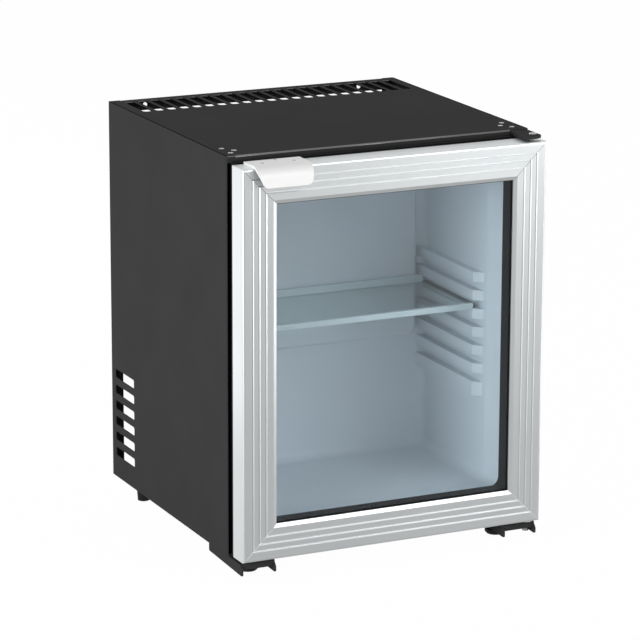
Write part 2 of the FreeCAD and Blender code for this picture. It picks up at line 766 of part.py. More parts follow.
def door_gasket():
    """Bellows seal: a foot on the door, a waist, and a head that meets the collar."""
    height = DOOR_GAP - COLLAR_PROUD - GASKET_GAP
    foot, waist, head = GASKET_FOOT / 2, GASKET_WAIST / 2, GASKET_HEAD / 2
    shoulder = height - GASKET_HEAD_DEPTH
    right = [
        (0, foot), (GASKET_FOOT_DEPTH, foot), (GASKET_FOOT_DEPTH + GASKET_SLOPE, waist),
        (shoulder - GASKET_SLOPE, waist), (shoulder, head), (height, head),
    ]
    corners = [(v, GASKET_MIDDLE + u, 0) for v, u in right]
    corners += [(v, GASKET_MIDDLE - u, 0) for v, u in reversed(right)]
    profile = Part.Face(outline(corners, sideways(0)))
    seal = fused(list(mitred_bars(profile, CABINET_WIDTH, DOOR_HEIGHT)))
    seal.translate(Vector(0, DOOR_REAR, DOOR_BOTTOM))
    return seal


def hinge_bush(z, up):
    """Flanged plastic bush; the flange bears on the bracket and up points into the door."""
    gap = DOOR_BOTTOM_MARGIN if up > 0 else HINGE_UNDER - DOOR_TOP
    centre = Vector(HINGE_X, HINGE_Y, z)
    step = Vector(0, 0, up)
    barrel = rod(BUSH_RADIUS, centre, centre + step * BUSH_LENGTH)
    flange = rod(BUSH_FLANGE_RADIUS, centre - step * (gap - BUSH_GAP), centre)
    bore = rod(BUSH_BORE, centre - step * gap, centre + step * BUSH_LENGTH)
    return fused([barrel, flange]).cut(bore)


def door_handle():
    """Moulded pull: a foot on the door's top edge that turns over the front as a tongue."""
    top = DOOR_TOP + HANDLE_SHEET
    rear = DOOR_REAR - HANDLE_REAR_INSET
    back = DOOR_FRONT - HANDLE_STANDOFF
    front = back - HANDLE_SHEET
    foot = DOOR_TOP - HANDLE_DROP
    section = [
        (rear, DOOR_TOP, 0),
        (rear, top, HANDLE_SHEET / 3),
        (front, top, HANDLE_BEND),
        (front, foot, HANDLE_SHEET / 3),
        (back, foot, HANDLE_SHEET / 3),
        (back, DOOR_TOP, HANDLE_INNER_BEND),
    ]
    left = -HALF + HANDLE_LEFT
    right = left + HANDLE_LENGTH
    strip = slab(section, sideways(left), Vector(HANDLE_LENGTH, 0, 0))
    face = [
        (left, top, 0),
        (left, DOOR_TOP - HANDLE_SHOULDER, HANDLE_SHOULDER_ROUNDING),
        (left + HANDLE_LEFT_TAPER, foot, HANDLE_CORNER),
        (right - HANDLE_RIGHT_TAPER, foot, HANDLE_CORNER),
        (right, top, 0),
    ]
    trim = slab(face, upright(front), Vector(0, rear - front, 0))
    return strip.common(trim)


def shelf_glass():
    """Glass plate with its front corners cut to clear the ribs."""
    x = LINER_HALF - SHELF_SIDE_GAP
    face = LINER_HALF - RIB_DEPTH
    front = SHELF_FRONT + SHELF_TRIM / 2
    rear = SHELF_REAR - SHELF_TRIM / 2
    cut = x - face
    plan = [
        (-face, front, 0), (face, front, 0), (x, front + cut, 0),
        (x, rear, 0), (-x, rear, 0), (-x, front + cut, 0),
    ]
    return slab(plan, flat(SHELF_BOTTOM), Vector(0, 0, SHELF_GLASS))


def shelf_trim(y0, y1, groove_y0, groove_y1, lip):
    """Edge strip that clasps the shelf glass and stands above it as a lip."""
    x = LINER_HALF - RIB_DEPTH - SHELF_TRIM_GAP
    top = SHELF_BOTTOM + SHELF_GLASS + lip
    section = rectangle(y0, y1, SHELF_BOTTOM, top, SHELF_TRIM / 6)
    strip = slab(section, sideways(-x), Vector(2 * x, 0, 0))
    groove = block(-x, x, groove_y0, groove_y1, SHELF_BOTTOM, SHELF_BOTTOM + SHELF_GLASS)
    return strip.cut(groove)


def evaporator_cover():
    """Moulded cover on the compartment's rear wall, open behind."""
    x = LINER_HALF - EVAPORATOR_SIDE
    roof = LINER_ROOF - EVAPORATOR_TOP
    sweep = Vector(0, EVAPORATOR_PROUD, 0)
    shape = rectangle(-x, x, EVAPORATOR_FOOT, roof, EVAPORATOR_CORNER)
    shell = slab(shape, upright(EVAPORATOR_FRONT), sweep)
    front = [e for e in shell.Edges if e.BoundBox.YMax < EVAPORATOR_FRONT + SHEET]
    shell = shell.makeFillet(EVAPORATOR_PROUD / 3, front)
    wall = EVAPORATOR_WALL
    hollow = rectangle(
        -x + wall, x - wall, EVAPORATOR_FOOT + wall, roof - wall, EVAPORATOR_CORNER - wall
    )
    return shell.cut(slab(hollow, upright(EVAPORATOR_FRONT + wall), sweep))


def evaporator_block():
    """Cold plate with upright fins, behind the cover."""
    x = COLD_PLATE_WIDTH / 2
    foot, roof = COLD_PLATE_FOOT, COLD_PLATE_ROOF
    face = LINER_DEPTH - COLD_PLATE
    plate = block(-x, x, face, LINER_DEPTH, foot, roof)
    step = (COLD_PLATE_WIDTH - COLD_FIN) / (COLD_FIN_COUNT - 1)
    fins = [
        block(-x + i * step, -x + i * step + COLD_FIN, face - COLD_FIN_DEPTH, face, foot, roof)
        for i in range(COLD_FIN_COUNT)
    ]
    return fused([plate] + fins)


def cooling_tubes():
    """Condenser tube and absorber coil, both from the cold plate to the rear bay."""
    boiler_end = BOILER_TOP + BOILER_TUBE_END
    high = CABINET_HEIGHT - CONDENSER_DROP
    left = -HALF + CONDENSER_LEFT
    low = high - CONDENSER_FALL
    condenser = tube(
        [
            Vector(BOILER_X, UNIT_Y, boiler_end),
            Vector(BOILER_X, UNIT_Y, high),
            Vector(left, UNIT_Y, high),
            Vector(left, UNIT_Y, low),
            Vector(left, LINER_DEPTH, low),
        ],
        UNIT_TUBE, UNIT_BEND,
    )
    coil_left = -HALF + COIL_LEFT
    coil_right = COIL_END
    first = VESSEL_HEIGHT + VESSEL_RADIUS + COIL_CLEARANCE + UNIT_TUBE
    last = first + (COIL_RUNS - 1) * COIL_PITCH
    inlet = COLD_PLATE_FOOT + COIL_INLET_MARGIN
    points = [
        Vector(coil_right, LINER_DEPTH, inlet),
        Vector(coil_right, UNIT_Y, inlet),
        Vector(coil_right, UNIT_Y, last),
    ]
    for i in range(COIL_RUNS - 1):
        x = coil_left if i % 2 == 0 else coil_right
        points.append(Vector(x, UNIT_Y, last - i * COIL_PITCH))
        points.append(Vector(x, UNIT_Y, last - (i + 1) * COIL_PITCH))
    outlet = coil_left + COIL_OUTLET
    points.append(Vector(outlet, UNIT_Y, first))
    points.append(Vector(outlet, UNIT_Y, VESSEL_HEIGHT))
    return condenser, tube(points, UNIT_TUBE, COIL_PITCH / 2)


def condenser_fins(condenser):
    """Plates pressed on the condenser tube."""
    start = -HALF + CONDENSER_LEFT + FIN_END_GAP
    end = BOILER_X - FIN_END_GAP
    z = CABINET_HEIGHT - CONDENSER_DROP
    bore = rod(UNIT_TUBE, Vector(start, UNIT_Y, z), Vector(end, UNIT_Y, z))
    fins = []
    for i in range(int((end - start - FIN_SHEET) / FIN_PITCH) + 1):
        x = start + i * FIN_PITCH
        fin = block(
            x, x + FIN_SHEET, UNIT_Y - FIN_WIDTH / 2, UNIT_Y + FIN_WIDTH / 2,
            z - FIN_HEIGHT / 2, z + FIN_HEIGHT / 2,
        )
        fins.append(fin.cut(bore))
    return Part.makeCompound(fins)


def boiler_parts():
    """Sleeve, insulation, tube and heater of the boiler."""
    foot = Vector(BOILER_X, UNIT_Y, BOILER_BOTTOM)
    head = Vector(BOILER_X, UNIT_Y, BOILER_TOP)
    end = Vector(0, 0, BOILER_TUBE_END)
    wall = Vector(0, 0, BOILER_SHEET)
    pipe = rod(BOILER_TUBE, foot - end, head + end)
    heater_foot = Vector(HEATER_X, UNIT_Y, BOILER_BOTTOM - HEATER_TAIL)
    heater = rod(HEATER_RADIUS, heater_foot, heater_foot + Vector(0, 0, HEATER_LENGTH))
    inner = rod(BOILER_RADIUS - BOILER_SHEET, foot + wall, head - wall)
    sleeve = rod(BOILER_RADIUS, foot, head).cut([inner, pipe, heater])
    return sleeve, inner.cut([pipe, heater]), pipe, heater


def heater_lead():
    """Lead from the heater into the side of the control box."""
    wall = HALF - SHEET - CONTROL_SIDE_GAP - CONTROL_WIDTH
    points = [
        Vector(HEATER_X, UNIT_Y, BOILER_BOTTOM - HEATER_TAIL),
        Vector(HEATER_X, UNIT_Y, LEAD_HEIGHT),
        Vector(wall, UNIT_Y, LEAD_HEIGHT),
    ]
    return tube(points, LEAD_RADIUS, LEAD_BEND)


def boiler_brackets():
    """Two clamps that hold the boiler to the bulkhead."""
    sleeve = rod(
        BOILER_RADIUS, Vector(BOILER_X, UNIT_Y, BOILER_BOTTOM), Vector(BOILER_X, UNIT_Y, BOILER_TOP)
    )
    clamps = []
    for z in (BOILER_BOTTOM + CLAMP_END, BOILER_TOP - CLAMP_END):
        arm = block(
            BOILER_X - CLAMP_WIDTH / 2, BOILER_X + CLAMP_WIDTH / 2, BAY, UNIT_Y, z, z + CLAMP_SHEET
        )
        clamps.append(arm.cut(sleeve))
    return Part.makeCompound(clamps)


def absorber_vessel():
    """Closed cylinder with coned ends, lying low in the rear bay."""
    start = Vector(VESSEL_START, UNIT_Y, VESSEL_HEIGHT)
    drum = rod(VESSEL_RADIUS, start, start + Vector(VESSEL_LENGTH, 0, 0))
    rims = [e for e in drum.Edges if e.Curve.TypeId == "Part::GeomCircle"]
    return drum.makeChamfer(VESSEL_DOME, rims)


def vessel_saddles(vessel):
    """Two plates on the base that carry the vessel."""
    saddles = []
    for x in (VESSEL_START + SADDLE_INSET, VESSEL_END - SADDLE_INSET):
        plate = block(
            x, x + SADDLE_SHEET, UNIT_Y - SADDLE_WIDTH / 2, UNIT_Y + SADDLE_WIDTH / 2,
            FLOOR, VESSEL_HEIGHT,
        )
        saddles.append(plate.cut(vessel))
    return Part.makeCompound(saddles)


def heat_exchanger_pipe():
    """Pipe from the vessel to the foot of the boiler."""
    points = [
        Vector(VESSEL_END, UNIT_Y, VESSEL_HEIGHT),
        Vector(BOILER_X, UNIT_Y, VESSEL_HEIGHT),
        Vector(BOILER_X, UNIT_Y, BOILER_BOTTOM - BOILER_TUBE_END),
    ]
    return tube(points, UNIT_TUBE, UNIT_BEND)


def drain_path(radius):
    """Solid along the drain, from the compartment's rear wall to above the tray."""
    z = OPENING_BOTTOM + LINER_CORNER + DRAIN_RISE
    y = BAY + DRAIN_REACH
    points = [
        Vector(DRAIN_X, LINER_DEPTH, z),
        Vector(DRAIN_X, y, z),
        Vector(DRAIN_X, y, z - DRAIN_DROP),
    ]
    return tube(points, radius, DRAIN_BEND)


def drip_tray():
    """Open tray on the base under the drain."""
    x0 = DRAIN_X - TRAY_WIDTH / 2
    y0 = BAY + TRAY_GAP
    x1, y1 = x0 + TRAY_WIDTH, y0 + TRAY_DEPTH
    wall = TRAY_WALL
    tray = block(x0, x1, y0, y1, FLOOR, FLOOR + TRAY_HEIGHT)
    hollow = block(
        x0 + wall, x1 - wall, y0 + wall, y1 - wall, FLOOR + wall, FLOOR + TRAY_HEIGHT
    )
    return tray.cut(hollow)


def control_parts():
    """Control box with its rear cover and the mains inlet in it."""
    x1 = HALF - SHEET - CONTROL_SIDE_GAP
    x0 = x1 - CONTROL_WIDTH
    y1 = CABINET_DEPTH - CONTROL_FROM_BACK
    y0 = y1 - CONTROL_DEPTH
    top = FLOOR + CONTROL_HEIGHT
    wall = CONTROL_WALL
    box = block(x0, x1, y0, y1, FLOOR, top)
    box = box.cut(block(x0 + wall, x1 - wall, y0 + wall, y1, FLOOR + wall, top - wall))
    cover = block(x0, x1, y1, y1 + wall, FLOOR, top)
    x = (x0 + x1) / 2
    z = (FLOOR + top) / 2
    half_w, half_h = INLET_WIDTH / 2, INLET_HEIGHT / 2
    body = block(x - half_w, x + half_w, y1 - INLET_DEPTH, y1 + wall, z - half_h, z + half_h)
    rim = slab(
        rectangle(
            x - half_w - INLET_RIM, x + half_w + INLET_RIM,
            z - half_h - INLET_RIM, z + half_h + INLET_RIM, INLET_RIM,
        ),
        upright(y1 + wall), Vector(0, INLET_RIM, 0),
    )
    socket = block(
        x - half_w + INLET_WALL, x + half_w - INLET_WALL, y1 - INLET_DEPTH + INLET_WALL,
        y1 + wall + INLET_RIM, z - half_h + INLET_WALL, z + half_h - INLET_WALL,
    )
    blades = []
    for i, rise in ((-1, -1), (0, 1), (1, -1)):
        bx = x + i * INLET_BLADE_PITCH
        bz = z + rise * INLET_BLADE
        blades.append(
            block(
                bx - INLET_BLADE / 2, bx + INLET_BLADE / 2, y1 - INLET_DEPTH, y1,
                bz - INLET_BLADE, bz + INLET_BLADE,
            )
        )
    inlet = fused([fused([body, rim]).cut(socket)] + blades)
    return box, cover.cut(body), inlet


def build():
    """Every piece of the fridge by name."""
    top_pin = top_hinge_pin()
    lower_pin = lower_hinge_pin()
    hinge = top_hinge_bracket(top_pin)
    left_plate = mirrored(corner_plate())
    left_panel = mirrored(side_panel())
    right_panel = side_panel().cut(hinge)
    top_sheet = top_panel().cut(hinge)
    base = base_plate().cut([left_panel, right_panel])
    bracket = front_bracket().cut(lower_pin)
    foot = front_foot()
    rear = rear_foot()

    condenser, coil = cooling_tubes()
    drain = drain_path(DRAIN_RADIUS)
    passages = [condenser, coil, drain]
    vessel = absorber_vessel()
    sleeve, wool, pipe, heater = boiler_parts()
    box, cover, inlet = control_parts()

    upper_seat = bush_seat(DOOR_TOP - BUSH_LENGTH, DOOR_TOP)
    lower_seat = bush_seat(DOOR_BOTTOM, DOOR_BOTTOM + BUSH_LENGTH)
    seats = [upper_seat, lower_seat]
    bottom, top, left, right = [
        placed_in_door(bar)
        for bar in mitred_bars(frame_profile(), CABINET_WIDTH, DOOR_HEIGHT)
    ]
    glass_front = DOOR_FRONT + GLASS_SETBACK
    return {
        "left_side_panel": left_panel,
        "right_side_panel": right_panel,
        "top_panel": top_sheet,
        "base_plate": base,
        "rear_bulkhead": rear_bulkhead(passages),
        "insulation_foam": insulation_foam(
            [left_panel, right_panel, top_sheet, base, hinge, left_plate] + passages
        ),
        "inner_liner": inner_liner(passages),
        "face_frame": face_frame(),
        "top_left_plate": left_plate,
        "top_hinge_bracket": hinge,
        "top_hinge_pin": top_pin,
        "lower_hinge_bracket": bracket,
        "lower_hinge_pin": lower_pin,
        "left_front_bracket": mirrored(bracket),
        "front_left_foot": mirrored(foot),
        "front_right_foot": foot,
        "rear_left_foot": mirrored(rear),
        "rear_right_foot": rear,
        "evaporator_cover": evaporator_cover(),
        "evaporator_block": evaporator_block(),
        "condenser_tube": condenser,
        "condenser_fins": condenser_fins(condenser),
        "boiler_sleeve": sleeve,
        "boiler_insulation": wool,
        "boiler_tube": pipe,
        "boiler_brackets": boiler_brackets(),
        "heater_cartridge": heater,
        "heater_lead": heater_lead(),
        "absorber_vessel": vessel,
        "vessel_saddles": vessel_saddles(vessel),
        "absorber_coil": coil.cut(vessel),
        "heat_exchanger_pipe": heat_exchanger_pipe(),
        "drain_tube": drain.cut(drain_path(DRAIN_RADIUS - DRAIN_WALL)),
        "drip_tray": drip_tray(),
        "control_box": box,
        "control_cover": cover,
        "mains_inlet": inlet,
        "door_frame_bottom": bottom.cut(lower_seat),
        "door_frame_top": top.cut(upper_seat),
        "door_frame_left": left,
        "door_frame_right": right,
        "corner_keys": corner_keys(seats),
        "outer_glass": pane(glass_front),
        "glass_spacer": glass_spacer(),
        "inner_glass": pane(glass_front + GLASS_THICKNESS + SPACER_DEPTH),
        "door_back_frame": door_back_frame(),
        "door_gasket": door_gasket(),
        "door_handle": door_handle(),
        "top_hinge_bush": hinge_bush(DOOR_TOP, -1),
        "lower_hinge_bush": hinge_bush(DOOR_BOTTOM, 1),
        "shelf_glass": shelf_glass(),
        "shelf_front_trim": shelf_trim(
            SHELF_FRONT, SHELF_FRONT + SHELF_TRIM,
            SHELF_FRONT + SHELF_TRIM / 2, SHELF_FRONT + SHELF_TRIM, SHELF_LIP,
        ),
        "shelf_rear_trim": shelf_trim(
            SHELF_REAR - SHELF_TRIM, SHELF_REAR,
            SHELF_REAR - SHELF_TRIM, SHELF_REAR - SHELF_TRIM / 2, SHELF_REAR_LIP,
        ),
    }


def main():
    os.makedirs("parts", exist_ok=True)
    for name, shape in build().items():
        shape.translate(TO_ORIGIN)
        shape.exportStep(f"parts/{name}.step")
        print(f"{name}: {len(shape.Solids)} solids, {shape.Volume:.0f} mm3, valid {shape.isValid()}")


main()
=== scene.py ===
# %% [markdown]
# # A minibar fridge, dressed for its portrait
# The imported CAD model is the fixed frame: a black cabinet, a silver framed glass door, a
# shelf and a cooling unit in the open back. This lesson gives each piece its finish, adds
# the small pieces that CAD leaves out, and lights the whole as a product photograph.

# %% Load the frame
import math

import bmesh
import bpy
import numpy as np
from mathutils import Matrix, Vector


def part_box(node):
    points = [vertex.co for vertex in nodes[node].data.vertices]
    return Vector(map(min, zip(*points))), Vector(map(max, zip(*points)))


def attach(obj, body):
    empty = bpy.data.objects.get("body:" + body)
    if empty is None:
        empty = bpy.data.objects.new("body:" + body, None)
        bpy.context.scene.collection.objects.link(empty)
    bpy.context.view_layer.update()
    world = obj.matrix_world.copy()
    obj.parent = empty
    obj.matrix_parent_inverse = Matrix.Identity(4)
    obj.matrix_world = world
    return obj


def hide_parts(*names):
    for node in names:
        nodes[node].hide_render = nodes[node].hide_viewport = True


MM = 0.001
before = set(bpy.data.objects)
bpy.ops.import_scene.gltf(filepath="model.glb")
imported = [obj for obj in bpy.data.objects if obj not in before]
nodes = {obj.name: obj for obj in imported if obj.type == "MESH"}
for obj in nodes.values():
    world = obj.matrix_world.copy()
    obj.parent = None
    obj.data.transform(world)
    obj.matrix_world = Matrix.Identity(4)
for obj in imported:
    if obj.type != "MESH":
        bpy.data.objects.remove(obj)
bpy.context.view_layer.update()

# %% [markdown]
# ## Small tools for materials
# Colours are given as screen values, but shaders work in linear light, so one
# function converts them. Another adds a node, sets it and links it in one call. That keeps
# each material short enough to read as a recipe. Two more start an empty material and hang
# a finished one on pieces of the frame. Where a node has several sockets of one name, as
# the mixing nodes do, the socket is picked by its number.

# %% Colour and node helpers
VALUE_A, VALUE_B, VALUE_OUT = 2, 3, 0
COLOUR_A, COLOUR_B, COLOUR_OUT = 6, 7, 2
SHADER_A, SHADER_B = 1, 2
MATH_A, MATH_B, MATH_OUT = 0, 1, 0


def colour(hex_code):
    """Linear RGBA of an sRGB hex code: undo the screen's gamma curve for each channel."""
    srgb = np.array([int(hex_code[i : i + 2], 16) for i in (1, 3, 5)]) / 255
    linear = np.where(srgb <= 0.04045, srgb / 12.92, ((srgb + 0.055) / 1.055) ** 2.4)
    return (*linear.tolist(), 1.0)


def add(tree, kind, inputs=None, **settings):
    """Add a node: settings are its properties, inputs are socket values or sockets to link."""
    made = tree.nodes.new(kind)
    for name, value in settings.items():
        setattr(made, name, value)
    for name, value in (inputs or {}).items():
        if isinstance(value, bpy.types.NodeSocket):
            tree.links.new(value, made.inputs[name])
        else:
            made.inputs[name].default_value = value
    return made


def blank_material(name):
    """A new material with an empty node tree."""
    material = bpy.data.materials.new(name)
    material.use_nodes = True
    material.node_tree.nodes.clear()
    return material, material.node_tree


def dress(material, *names):
    """Give CAD nodes a material."""
    for name in names:
        nodes[name].data.materials.clear()
        nodes[name].data.materials.append(material)
    print(material.name, "on", ", ".join(names))


# %% [markdown]
# ## One recipe for most surfaces
# Paint, moulded plastic, rubber and drawn metal have the same build-up. A slow cloud drifts
# the colour between two close shades, and a fine grain drives both roughness and relief, so
# that a smooth spot is also a level one. What tells the finishes apart is the numbers: how
# coarse the grain is in millimetres, how deep, and along which way it is drawn out.

# %% The surface recipe
GRAIN_DETAIL, CLOUD_DETAIL = 3.0, 1.0
POLYMER_IOR = 1.5


def surface(name, shades, roughness, grain_mm, relief_mm, draw=(1, 1, 1), cloud_mm=60, **sockets):
    """Colour = cloud between two shades; roughness and relief = one grain, drawn out by draw."""
    material, tree = blank_material(name)
    place = add(tree, "ShaderNodeTexCoord").outputs["Object"]
    drawn = add(tree, "ShaderNodeMapping", {"Vector": place, "Scale": draw}).outputs["Vector"]
    grain = add(
        tree, "ShaderNodeTexNoise",
        {"Vector": drawn, "Scale": 1 / (grain_mm * MM), "Detail": GRAIN_DETAIL},
    ).outputs["Fac"]
    cloud = add(
        tree, "ShaderNodeTexNoise",
        {"Vector": place, "Scale": 1 / (cloud_mm * MM), "Detail": CLOUD_DETAIL},
    ).outputs["Fac"]
    dark, light = shades
    tint = add(
        tree, "ShaderNodeMix",
        {"Factor": cloud, COLOUR_A: colour(dark), COLOUR_B: colour(light)}, data_type="RGBA",
    ).outputs[COLOUR_OUT]
    smooth, rough = roughness
    gloss = add(
        tree, "ShaderNodeMapRange", {"Value": grain, "To Min": smooth, "To Max": rough}
    ).outputs["Result"]
    relief = add(
        tree, "ShaderNodeBump", {"Height": grain, "Distance": relief_mm * MM}
    ).outputs["Normal"]
    fixed = {key.replace("_", " "): value for key, value in sockets.items()}
    shader = add(
        tree, "ShaderNodeBsdfPrincipled",
        {"Base Color": tint, "Roughness": gloss, "Normal": relief, **fixed},
    )
    add(tree, "ShaderNodeOutputMaterial", {"Surface": shader.outputs["BSDF"]})
    return material


# %% [markdown]
# ## Powder-coated steel
# The cabinet is folded sheet under a matt black polyester powder. Baked powder flows into
# a faint orange peel, which breaks up the reflection of the room without ever looking
# rough. The peel is drawn a little coarser than life, or the render would not show it. A
# dead matt powder has next to no highlight, so its specular level is close to nothing.

# %% Black coat on the cabinet
black_coat = surface(
    "black_powder_coat", ("#353536", "#3a3a3b"), (0.6, 0.72), grain_mm=1.6, relief_mm=0.03,
    IOR=POLYMER_IOR, Specular_IOR_Level=0.01,
)
dress(
    black_coat, "left_side_panel", "right_side_panel", "base_plate", "top_left_plate",
    "top_hinge_bracket", "lower_hinge_bracket", "left_front_bracket",
)

# %% [markdown]
# ## Anodised aluminium
# The door frame is drawn aluminium, etched and anodised to a soft silver. The die leaves
# fine lines along each bar, so the grain is drawn out along the bar: along X on the upper
# and lower bars, along Z on the uprights. The lines lie about 1 mm apart to show in the
# render.

# %% Silver extrusions of the door
DIE_LINE_STRETCH = 0.006
ALONG_X, ALONG_Z = (DIE_LINE_STRETCH, 1, 1), (1, 1, DIE_LINE_STRETCH)
silver_level, silver_upright = (
    surface(
        name, ("#d5d8d9", "#dcdfe0"), (0.3, 0.42), grain_mm=0.9, relief_mm=0.01,
        draw=along, cloud_mm=80, Metallic=1.0,
    )
    for name, along in (("anodised_silver_level", ALONG_X), ("anodised_silver_upright", ALONG_Z))
)
dress(silver_level, "door_frame_top", "door_frame_bottom")
dress(silver_upright, "door_frame_left", "door_frame_right", "corner_keys")

# %% [markdown]
# ## Glass
# The panes are soda-lime float glass with an IOR of 1.52. A solid glass shader would throw
# a black shadow into the compartment, because the renderer follows no light through
# refraction to the lamps. So shadow rays see a clear shader instead, and the inside
# stays as bright as behind a real pane. The iron in the glass shows as a trace of grey
# green. In a studio, a dark card keeps the bright floor off the panes. Here a grey tint on
# the reflection alone does the same.

# %% Panes and shelf
FLOAT_GLASS_IOR = 1.52
CARD_GREY = "#b4b7b9"


def float_glass(name, hex_code):
    """Clear glass that lets shadow rays through."""
    material, tree = blank_material(name)
    glass = add(
        tree, "ShaderNodeBsdfPrincipled",
        {
            "Base Color": colour(hex_code), "Roughness": 0.0, "IOR": FLOAT_GLASS_IOR,
            "Transmission Weight": 1.0, "Specular Tint": colour(CARD_GREY),
        },
    )
    clear = add(tree, "ShaderNodeBsdfTransparent", {"Color": colour(hex_code)})
    shadow = add(tree, "ShaderNodeLightPath").outputs["Is Shadow Ray"]
    choice = add(
        tree, "ShaderNodeMixShader",
        {"Fac": shadow, SHADER_A: glass.outputs["BSDF"], SHADER_B: clear.outputs["BSDF"]},
    )
    add(tree, "ShaderNodeOutputMaterial", {"Surface": choice.outputs["Shader"]})
    return material


dress(float_glass("float_glass", "#f3f6f7"), "outer_glass", "inner_glass")
dress(float_glass("shelf_float_glass", "#e6f1f0"), "shelf_glass")

# %% [markdown]
# ## Moulded plastics and rubber
# The liner is vacuum-formed polystyrene, the pull is moulded ABS, and the seal is soft
# vinyl. All are plain dielectrics. What tells them apart is how smooth the mould was:
# the liner has a faint pull texture, the ABS a fine spark grain, the vinyl is dull.

# %% Liner, pull, seal and feet
liner_white = surface(
    "formed_polystyrene", ("#dde4ec", "#e4eaf1"), (0.36, 0.46), grain_mm=2.4, relief_mm=0.02,
    IOR=POLYMER_IOR, Specular_IOR_Level=0.4,
)
pull_white = surface(
    "moulded_abs", ("#efefef", "#f4f4f3"), (0.3, 0.4), grain_mm=1.2, relief_mm=0.02,
    IOR=POLYMER_IOR,
)
seal_black = surface(
    "soft_vinyl", ("#0c0d0e", "#111213"), (0.5, 0.66), grain_mm=1.5, relief_mm=0.03,
    IOR=POLYMER_IOR, Specular_IOR_Level=0.1,
)
hard_black = surface(
    "black_polyamide", ("#111112", "#171718"), (0.46, 0.6), grain_mm=1.0, relief_mm=0.02,
    IOR=POLYMER_IOR, Specular_IOR_Level=0.15,
)
trim_pale = surface(
    "pale_styrene_trim", ("#cfdde3", "#dbe7ec"), (0.16, 0.24), grain_mm=1.5, relief_mm=0.01,
    IOR=POLYMER_IOR,
)
drain_grey = surface(
    "grey_vinyl", ("#8b8d8e", "#949697"), (0.4, 0.5), grain_mm=1.5, relief_mm=0.02,
    IOR=POLYMER_IOR,
)
dress(liner_white, "inner_liner", "evaporator_cover")
dress(pull_white, "door_handle", "top_hinge_bush", "lower_hinge_bush")
dress(seal_black, "door_gasket", "heater_lead")
dress(
    hard_black, "face_frame", "door_back_frame", "control_box", "control_cover", "mains_inlet",
    "drip_tray", "front_left_foot", "front_right_foot", "rear_left_foot", "rear_right_foot",
)
dress(trim_pale, "shelf_front_trim", "shelf_rear_trim")
dress(drain_grey, "drain_tube")

# %% [markdown]
# ## Foam and wool
# The insulation is foamed into the cabinet, so its skin is matt and pocked. The boiler is
# packed with mineral wool. Both scatter light so fully that they have next to no highlight.

# %% Insulation
foam_cream = surface(
    "polyurethane_foam", ("#d9cfa4", "#e5dbb4"), (0.85, 0.95), grain_mm=1.8, relief_mm=0.3,
    Specular_IOR_Level=0.1,
)
wool_tan = surface(
    "mineral_wool", ("#b3a36f", "#cbbd8c"), (0.9, 1.0), grain_mm=1.2, relief_mm=0.5,
    Specular_IOR_Level=0.1,
)
dress(foam_cream, "insulation_foam")
dress(wool_tan, "boiler_insulation")

# %% [markdown]
# ## The spacer bar
# Between the panes runs a black roll-formed bar filled with drying beads. Its inner faces
# carry rows of tiny breathing holes, which show as dots along the lower edge of the view.
# They are drawn as points 3 mm apart, from the distance to the middle of a cubic cell.

# %% Dotted spacer
DOT_PITCH_MM, DOT_RELIEF_MM = 3.0, 0.15
DOT_CORE, DOT_RIM = 0.16, 0.3


def dotted_spacer():
    """Matt black bar; a dot fades from its core to its rim, both as shares of a cell."""
    material, tree = blank_material("black_spacer_bar")
    place = add(tree, "ShaderNodeTexCoord").outputs["Object"]
    cells = add(
        tree, "ShaderNodeTexVoronoi",
        {"Vector": place, "Scale": 1 / (DOT_PITCH_MM * MM), "Randomness": 0.0},
    )
    dots = add(
        tree, "ShaderNodeMapRange",
        {
            "Value": cells.outputs["Distance"],
            "From Min": DOT_CORE, "From Max": DOT_RIM, "To Min": 1.0, "To Max": 0.0,
        },
    ).outputs["Result"]
    tint = add(
        tree, "ShaderNodeMix",
        {"Factor": dots, COLOUR_A: colour("#060607"), COLOUR_B: colour("#22272a")},
        data_type="RGBA",
    ).outputs[COLOUR_OUT]
    relief = add(
        tree, "ShaderNodeBump", {"Height": dots, "Distance": DOT_RELIEF_MM * MM}
    ).outputs["Normal"]
    shader = add(
        tree, "ShaderNodeBsdfPrincipled",
        {
            "Base Color": tint, "Normal": relief, "Roughness": 0.5, "IOR": POLYMER_IOR,
            "Specular IOR Level": 0.05,
        },
    )
    add(tree, "ShaderNodeOutputMaterial", {"Surface": shader.outputs["BSDF"]})
    return material


dress(dotted_spacer(), "glass_spacer")

# %% [markdown]
# ## Metals of the cooling unit
# Nobody polishes the back of a fridge. The unit's pipes are brushed with black paint, the
# sleeve and the bulkhead are hot-dip galvanised with a visible spangle, and the fins are
# plain mill aluminium. Zinc freezes into flat crystals, so each cell of the pattern gets one
# grey and one roughness.

# %% Rear finishes
SPANGLE_MM = 9.0


def galvanised():
    """Zinc with crystals about as wide as the spangle, each a slightly different grey."""
    material, tree = blank_material("galvanised_steel")
    place = add(tree, "ShaderNodeTexCoord").outputs["Object"]
    cells = add(tree, "ShaderNodeTexVoronoi", {"Vector": place, "Scale": 1 / (SPANGLE_MM * MM)})
    shade = add(tree, "ShaderNodeRGBToBW", {"Color": cells.outputs["Color"]}).outputs["Val"]
    tint = add(
        tree, "ShaderNodeMix",
        {"Factor": shade, COLOUR_A: colour("#9ea2a4"), COLOUR_B: colour("#b6babb")},
        data_type="RGBA",
    ).outputs[COLOUR_OUT]
    gloss = add(
        tree, "ShaderNodeMapRange", {"Value": shade, "To Min": 0.34, "To Max": 0.52}
    ).outputs["Result"]
    shader = add(
        tree, "ShaderNodeBsdfPrincipled", {"Base Color": tint, "Roughness": gloss, "Metallic": 1.0}
    )
    add(tree, "ShaderNodeOutputMaterial", {"Surface": shader.outputs["BSDF"]})
    return material


